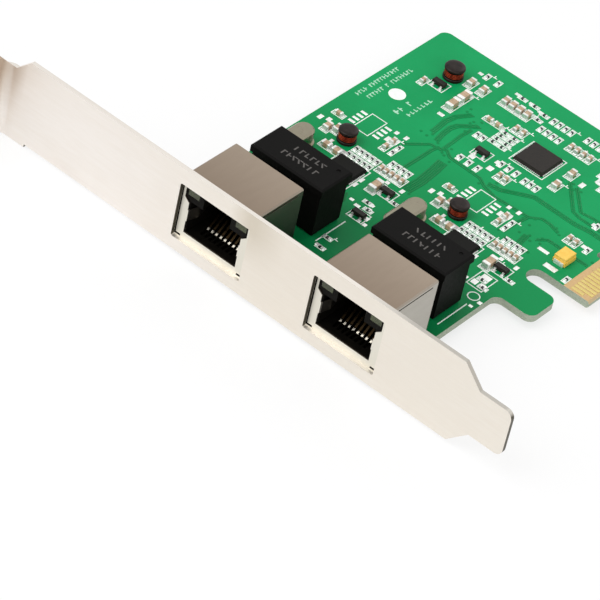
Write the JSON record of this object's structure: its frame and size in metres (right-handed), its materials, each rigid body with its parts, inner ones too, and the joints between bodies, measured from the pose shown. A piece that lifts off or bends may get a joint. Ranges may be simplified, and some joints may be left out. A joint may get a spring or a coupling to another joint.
{
  "type": "network interface card",
  "caption": "Slot-in network card: folded steel bracket with ports, board with edge connector, shielded modular sockets, magnetics modules and surface parts.",
  "frame": {"origin": "middle of the card's footprint at its lowest level, under the board", "axes": "+X runs along the bracket from the flange to the tongue, +Y from the ports into the card, +Z out of the component face"},
  "size_m": [0.12, 0.1006, 0.0216],
  "materials": {
    "bracket_steel": "satin nickel plate",
    "board_green": "green solder mask over glass laminate",
    "gold_plate": "gold plate",
    "screw_steel": "bright plated",
    "shield_steel": "tinned, lightly brushed",
    "housing_plastic": "moulded black",
    "contact_gold": "gold plate",
    "lamp_lens": "cloudy light pipe",
    "module_black": "moulded black",
    "crystal_can": "drawn nickel can",
    "chip_black": "moulded epoxy",
    "ferrite": "ferrite",
    "copper_wire": "enamelled copper",
    "tantalum_case": "moulded yellow",
    "tinned_metal": "tin plate",
    "ceramic_tan": "fired ceramic",
    "resistor_black": "glazed film",
    "solder": "bright solder"
  },
  "bodies": {
    "root": {"bracket": "bracket_steel", "circuit_board": "board_green", "edge_contacts": "gold_plate", "bracket_screws": "screw_steel", "jack_shield_1": "shield_steel", "jack_shield_2": "shield_steel", "jack_housing_1": "housing_plastic", "jack_housing_2": "housing_plastic", "jack_contacts_1": "contact_gold", "jack_contacts_2": "contact_gold", "jack_lights_1": "lamp_lens", "jack_lights_2": "lamp_lens", "magnetics_1": "module_black", "magnetics_2": "module_black", "crystal_1": "crystal_can", "crystal_2": "crystal_can", "controller_1": "chip_black", "controller_2": "chip_black", "bridge_chip": "chip_black", "choke_core_1": "ferrite", "choke_core_2": "ferrite", "choke_core_3": "ferrite", "choke_winding_1": "copper_wire", "choke_winding_2": "copper_wire", "choke_winding_3": "copper_wire", "tantalum_capacitor": "tantalum_case", "tantalum_terminals": "tinned_metal", "ceramic_capacitors": "ceramic_tan", "chip_resistors": "resistor_black", "transistors": "chip_black", "solder_joints": "solder"}
  },
  "joints": []
}
